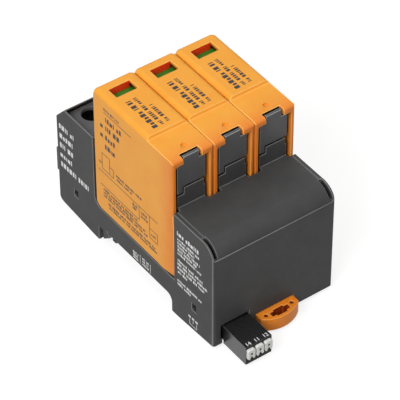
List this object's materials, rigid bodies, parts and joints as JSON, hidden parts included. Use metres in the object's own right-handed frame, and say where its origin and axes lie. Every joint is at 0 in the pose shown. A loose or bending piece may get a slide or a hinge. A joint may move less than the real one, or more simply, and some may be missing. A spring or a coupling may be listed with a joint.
{
  "type": "surge arrester",
  "caption": "Rail-mounted surge arrester: grey two-tower base with plug-in orange modules, status windows, sliding rail foot and a pluggable signal contact.",
  "frame": {"origin": "centre of the rail seat: middle of the width, on the rail's centre line", "axes": "+X along the rail, +Y towards the wire terminals, +Z away from the rail"},
  "size_m": [0.054, 0.1136, 0.0736],
  "materials": {
    "housing": "fine spark-eroded texture, dark grey",
    "hood": "satin orange",
    "foot": "satin deep orange",
    "front_plate": "matte black",
    "plug_black": "satin black",
    "push_grey": "satin light grey",
    "copper": "tinned copper strip, bare",
    "steel": "zinc plated",
    "board": "green laminate",
    "bar": "natural white",
    "coating": "blue epoxy coating",
    "signal_red": "red",
    "signal_green": "green"
  },
  "bodies": {
    "base": {"base_shell": "housing", "base_bottom": "plug_black", "front_cover": "housing", "terminal_cover": "housing", "wire_entry_frame": "housing", "star_busbar": "copper", "line_contact_1": "copper", "line_contact_2": "copper", "line_contact_3": "copper", "signal_board": "board", "signal_header": "plug_black", "header_pins": "steel", "microswitch": "plug_black"},
    "rail_foot": {"rail_foot": "foot"},
    "signal_bar": {"signal_bar": "bar", "switch_plunger": "signal_red"},
    "signal_plug": {"signal_plug": "plug_black", "clamp_cages": "steel"},
    "plug_module_1": {"plug_hood_1": "hood", "plug_carrier_1": "front_plate", "varistor_1": "coating", "contact_blades_1": "copper", "thermal_spring_1": "copper", "status_field_1": "signal_red"},
    "status_flag_1": {"status_flag_1": "signal_green"},
    "terminal_screw_1": {"terminal_screw_1": "steel"},
    "terminal_cage_1": {"terminal_cage_1": "steel"},
    "push_piece_1": {"push_piece_1": "push_grey"},
    "plug_module_2": {"plug_hood_2": "hood", "plug_carrier_2": "front_plate", "varistor_2": "coating", "contact_blades_2": "copper", "thermal_spring_2": "copper", "status_field_2": "signal_red"},
    "status_flag_2": {"status_flag_2": "signal_green"},
    "terminal_screw_2": {"terminal_screw_2": "steel"},
    "terminal_cage_2": {"terminal_cage_2": "steel"},
    "push_piece_2": {"push_piece_2": "push_grey"},
    "plug_module_3": {"plug_hood_3": "hood", "plug_carrier_3": "front_plate", "varistor_3": "coating", "contact_blades_3": "copper", "thermal_spring_3": "copper", "status_field_3": "signal_red"},
    "status_flag_3": {"status_flag_3": "signal_green"},
    "terminal_screw_3": {"terminal_screw_3": "steel"},
    "terminal_cage_3": {"terminal_cage_3": "steel"},
    "push_piece_3": {"push_piece_3": "push_grey"}
  },
  "joints": [
    {"name": "foot_slide", "type": "slide", "parent": "base", "child": "rail_foot", "axis": [0, -1, 0], "range_m": [0, 0.004], "stiffness_N_per_m": 2000},
    {"name": "bar_slide", "type": "slide", "parent": "base", "child": "signal_bar", "axis": [0, -1, 0], "range_m": [0, 0.0012], "stiffness_N_per_m": 400},
    {"name": "signal_plug_pull", "type": "slide", "parent": "base", "child": "signal_plug", "axis": [0, -1, 0], "range_m": [0, 0.012]},
    {"name": "plug_1_pull", "type": "slide", "parent": "base", "child": "plug_module_1", "axis": [0, 0, 1], "range_m": [0, 0.035]},
    {"name": "flag_1_slide", "type": "slide", "parent": "plug_module_1", "child": "status_flag_1", "axis": [0, -1, 0], "range_m": [0, 0.0062]},
    {"name": "screw_1_turn", "type": "hinge", "parent": "base", "child": "terminal_screw_1", "pos_m": [-0.018, 0.04174, 0.03], "axis": [0, 0, 1], "range_deg": [-1980, 0]},
    {"name": "cage_1_lift", "type": "slide", "parent": "base", "child": "terminal_cage_1", "axis": [0, 0, 1], "range_m": [0, 0.004]},
    {"name": "push_1_press", "type": "slide", "parent": "signal_plug", "child": "push_piece_1", "axis": [0, 1, 0], "range_m": [0, 0.0012], "stiffness_N_per_m": 1500},
    {"name": "plug_2_pull", "type": "slide", "parent": "base", "child": "plug_module_2", "axis": [0, 0, 1], "range_m": [0, 0.035]},
    {"name": "flag_2_slide", "type": "slide", "parent": "plug_module_2", "child": "status_flag_2", "axis": [0, -1, 0], "range_m": [0, 0.0062]},
    {"name": "screw_2_turn", "type": "hinge", "parent": "base", "child": "terminal_screw_2", "pos_m": [0, 0.04174, 0.03], "axis": [0, 0, 1], "range_deg": [-1980, 0]},
    {"name": "cage_2_lift", "type": "slide", "parent": "base", "child": "terminal_cage_2", "axis": [0, 0, 1], "range_m": [0, 0.004]},
    {"name": "push_2_press", "type": "slide", "parent": "signal_plug", "child": "push_piece_2", "axis": [0, 1, 0], "range_m": [0, 0.0012], "stiffness_N_per_m": 1500},
    {"name": "plug_3_pull", "type": "slide", "parent": "base", "child": "plug_module_3", "axis": [0, 0, 1], "range_m": [0, 0.035]},
    {"name": "flag_3_slide", "type": "slide", "parent": "plug_module_3", "child": "status_flag_3", "axis": [0, -1, 0], "range_m": [0, 0.0062]},
    {"name": "screw_3_turn", "type": "hinge", "parent": "base", "child": "terminal_screw_3", "pos_m": [0.018, 0.04174, 0.03], "axis": [0, 0, 1], "range_deg": [-1980, 0]},
    {"name": "cage_3_lift", "type": "slide", "parent": "base", "child": "terminal_cage_3", "axis": [0, 0, 1], "range_m": [0, 0.004]},
    {"name": "push_3_press", "type": "slide", "parent": "signal_plug", "child": "push_piece_3", "axis": [0, 1, 0], "range_m": [0, 0.0012], "stiffness_N_per_m": 1500}
  ],
  "couplings": [
    {"joint": "screw_1_turn", "follows": "cage_1_lift", "rad_per_m": -7854},
    {"joint": "screw_2_turn", "follows": "cage_2_lift", "rad_per_m": -7854},
    {"joint": "screw_3_turn", "follows": "cage_3_lift", "rad_per_m": -7854}
  ]
}
